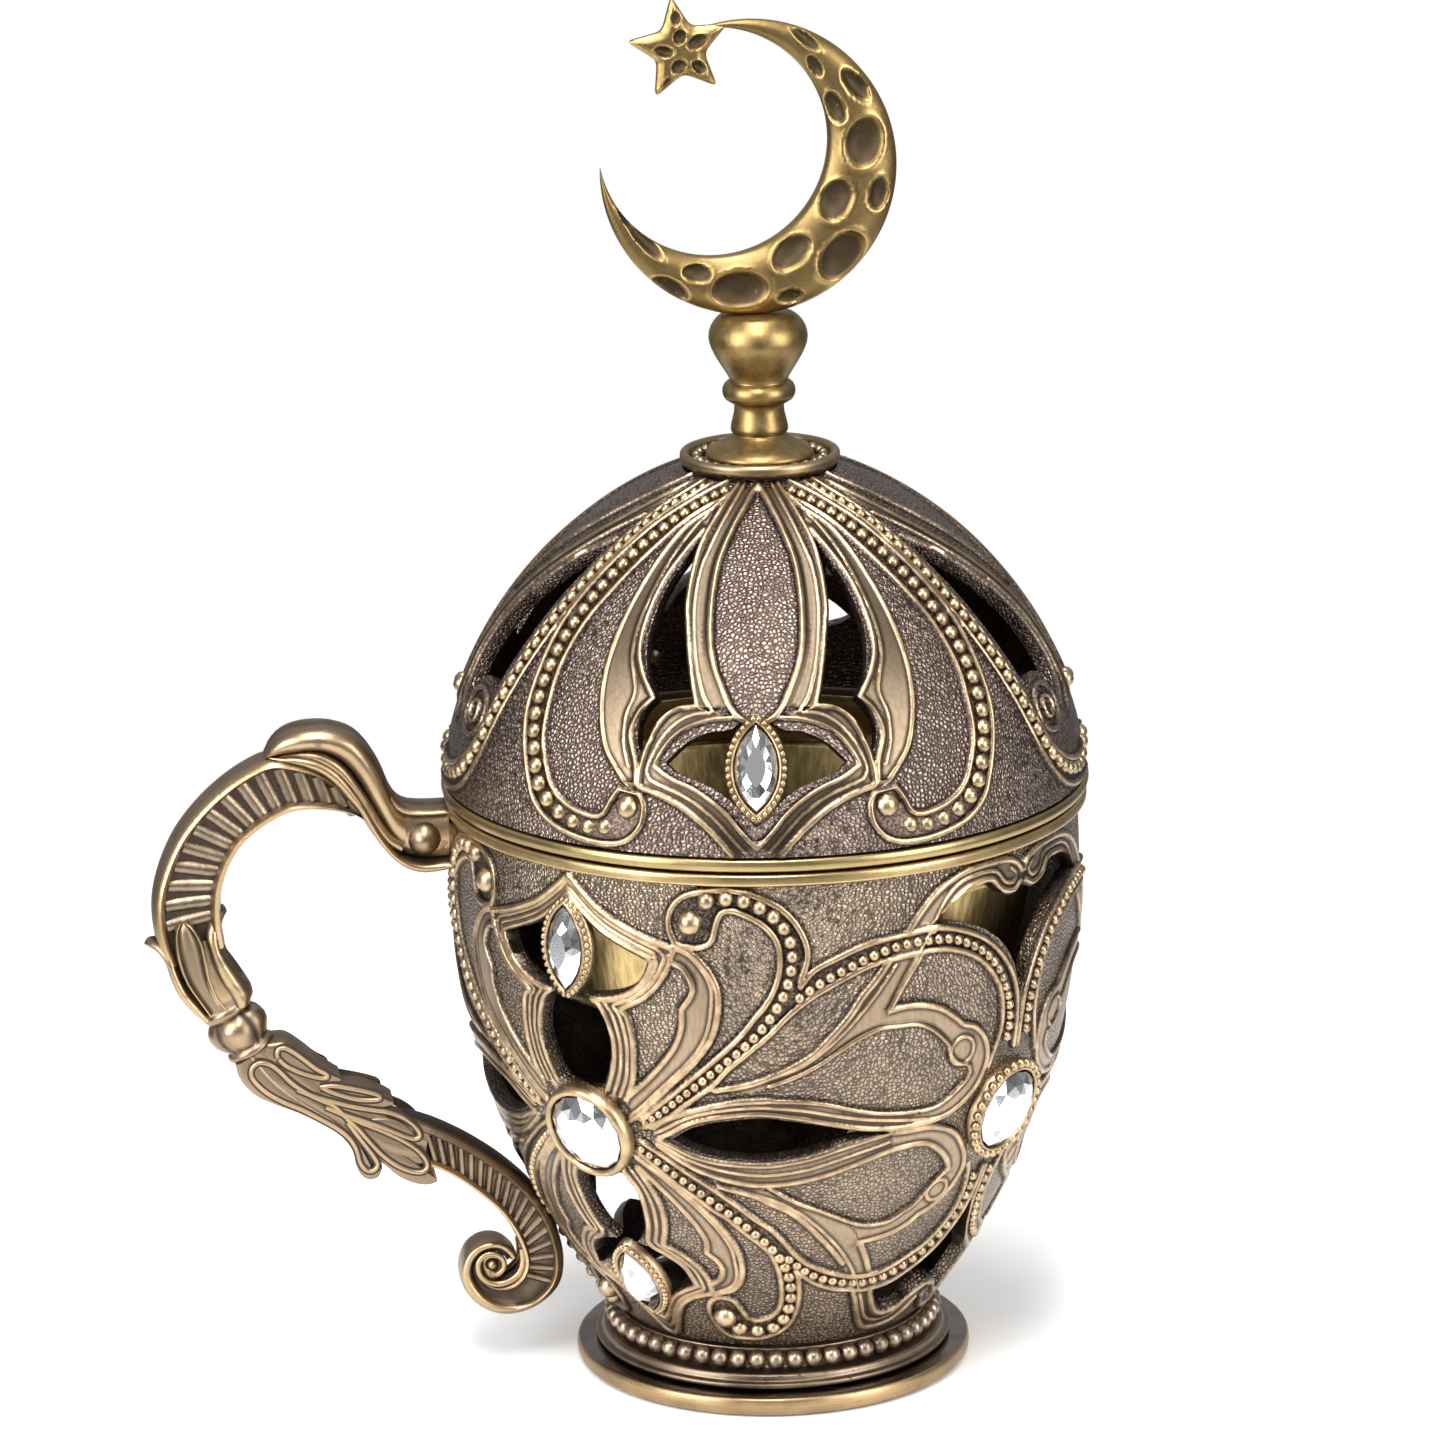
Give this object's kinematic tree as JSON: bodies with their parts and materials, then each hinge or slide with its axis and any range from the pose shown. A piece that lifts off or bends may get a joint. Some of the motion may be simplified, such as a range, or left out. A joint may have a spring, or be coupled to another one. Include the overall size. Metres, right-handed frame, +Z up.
{
  "type": "incense burner",
  "caption": "Footed openwork mabkhara cup with a domed lift-off lid, crescent and star finial, scrolled side handle, set clear stones and an inner charcoal bowl.",
  "frame": {"origin": "centre of the foot's underside, on the burner's upright axis", "axes": "+Z up along the axis, the handle along -X, and the front of the picture along -Y"},
  "size_m": [0.1419, 0.0968, 0.2085],
  "materials": {
    "cast_bronze": "antiqued bronze-plated casting, dark in the recesses",
    "lid_bronze": "antiqued bronze-plated casting, dark in the recesses",
    "antique_brass": "antiqued brass plate, rubbed bright on the edges",
    "pale_bronze": "pale bronze plate, dark in the grooves",
    "dark_gloss": "dark gloss plate with a rubbed edge",
    "bowl_brass": "brushed",
    "steel": "plain",
    "clear_stone": "faceted and foil backed"
  },
  "bodies": {
    "base": {"foot_disc": "dark_gloss", "foot_collar": "cast_bronze", "foot_screw": "steel", "foot_washer": "steel", "cup_shell": "cast_bronze", "cup_ring": "antique_brass", "handle": "pale_bronze", "handle_screw_upper": "steel", "handle_screw_lower": "steel", "stone_cup_front_upper": "clear_stone", "stone_cup_front_round": "clear_stone", "stone_cup_front_lower": "clear_stone", "stone_cup_back_upper": "clear_stone", "stone_cup_back_round": "clear_stone", "stone_cup_back_lower": "clear_stone", "stone_cup_right_round": "clear_stone", "stone_cup_left_round": "clear_stone"},
    "bowl": {"inner_bowl": "bowl_brass"},
    "lid": {"dome_shell": "lid_bronze", "dome_ring": "antique_brass", "crown_ring": "antique_brass", "finial_stem": "antique_brass", "finial_washer": "steel", "finial_nut": "steel", "crescent_and_star": "antique_brass", "stone_dome_front": "clear_stone", "stone_dome_back": "clear_stone"}
  },
  "joints": [
    {"name": "lid_lift", "type": "slide", "parent": "base", "child": "lid", "axis": [0, 0, 1], "range_m": [0, 0.12]},
    {"name": "bowl_lift", "type": "slide", "parent": "base", "child": "bowl", "axis": [0, 0, 1], "range_m": [0, 0.048]}
  ],
  "couplings": [
    {"joint": "bowl_lift", "follows": "lid_lift", "ratio": 0.4}
  ]
}
